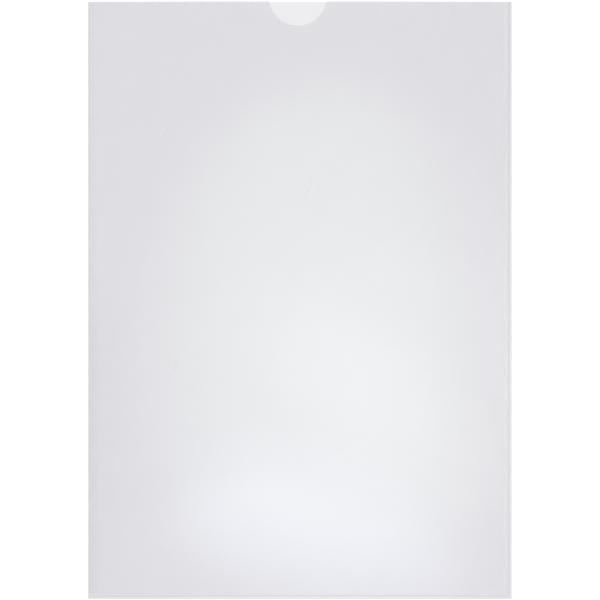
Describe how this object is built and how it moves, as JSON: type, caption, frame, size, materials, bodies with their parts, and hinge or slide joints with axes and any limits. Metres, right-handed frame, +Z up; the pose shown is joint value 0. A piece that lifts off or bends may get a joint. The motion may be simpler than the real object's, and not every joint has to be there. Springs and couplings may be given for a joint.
{
  "type": "clear plastic sleeve",
  "caption": "Clear plastic document sleeve, folded down its left side, welded along its right side and bottom, and open at the top with a thumb notch.",
  "frame": {"origin": "on the surface that the sleeve lies on, under the middle of its outline; the back leaf's underside is at z = 0", "axes": "+Y along the sleeve's length towards the open mouth, +X across it from the folded edge towards the welded one, +Z up out of the front leaf"},
  "size_m": [0.22, 0.31, 0.0074],
  "materials": {
    "clear_film": "clear glossy film, with a faint violet tint where two leaves lie over each other",
    "creased_film": "clear glossy film, creased flat",
    "welded_film": "clear film, fused and pressed with one groove"
  },
  "bodies": {
    "root": {"back_leaf": "clear_film", "front_leaf": "clear_film", "folded_edge": "creased_film", "side_weld": "welded_film", "bottom_weld": "welded_film"}
  },
  "joints": []
}
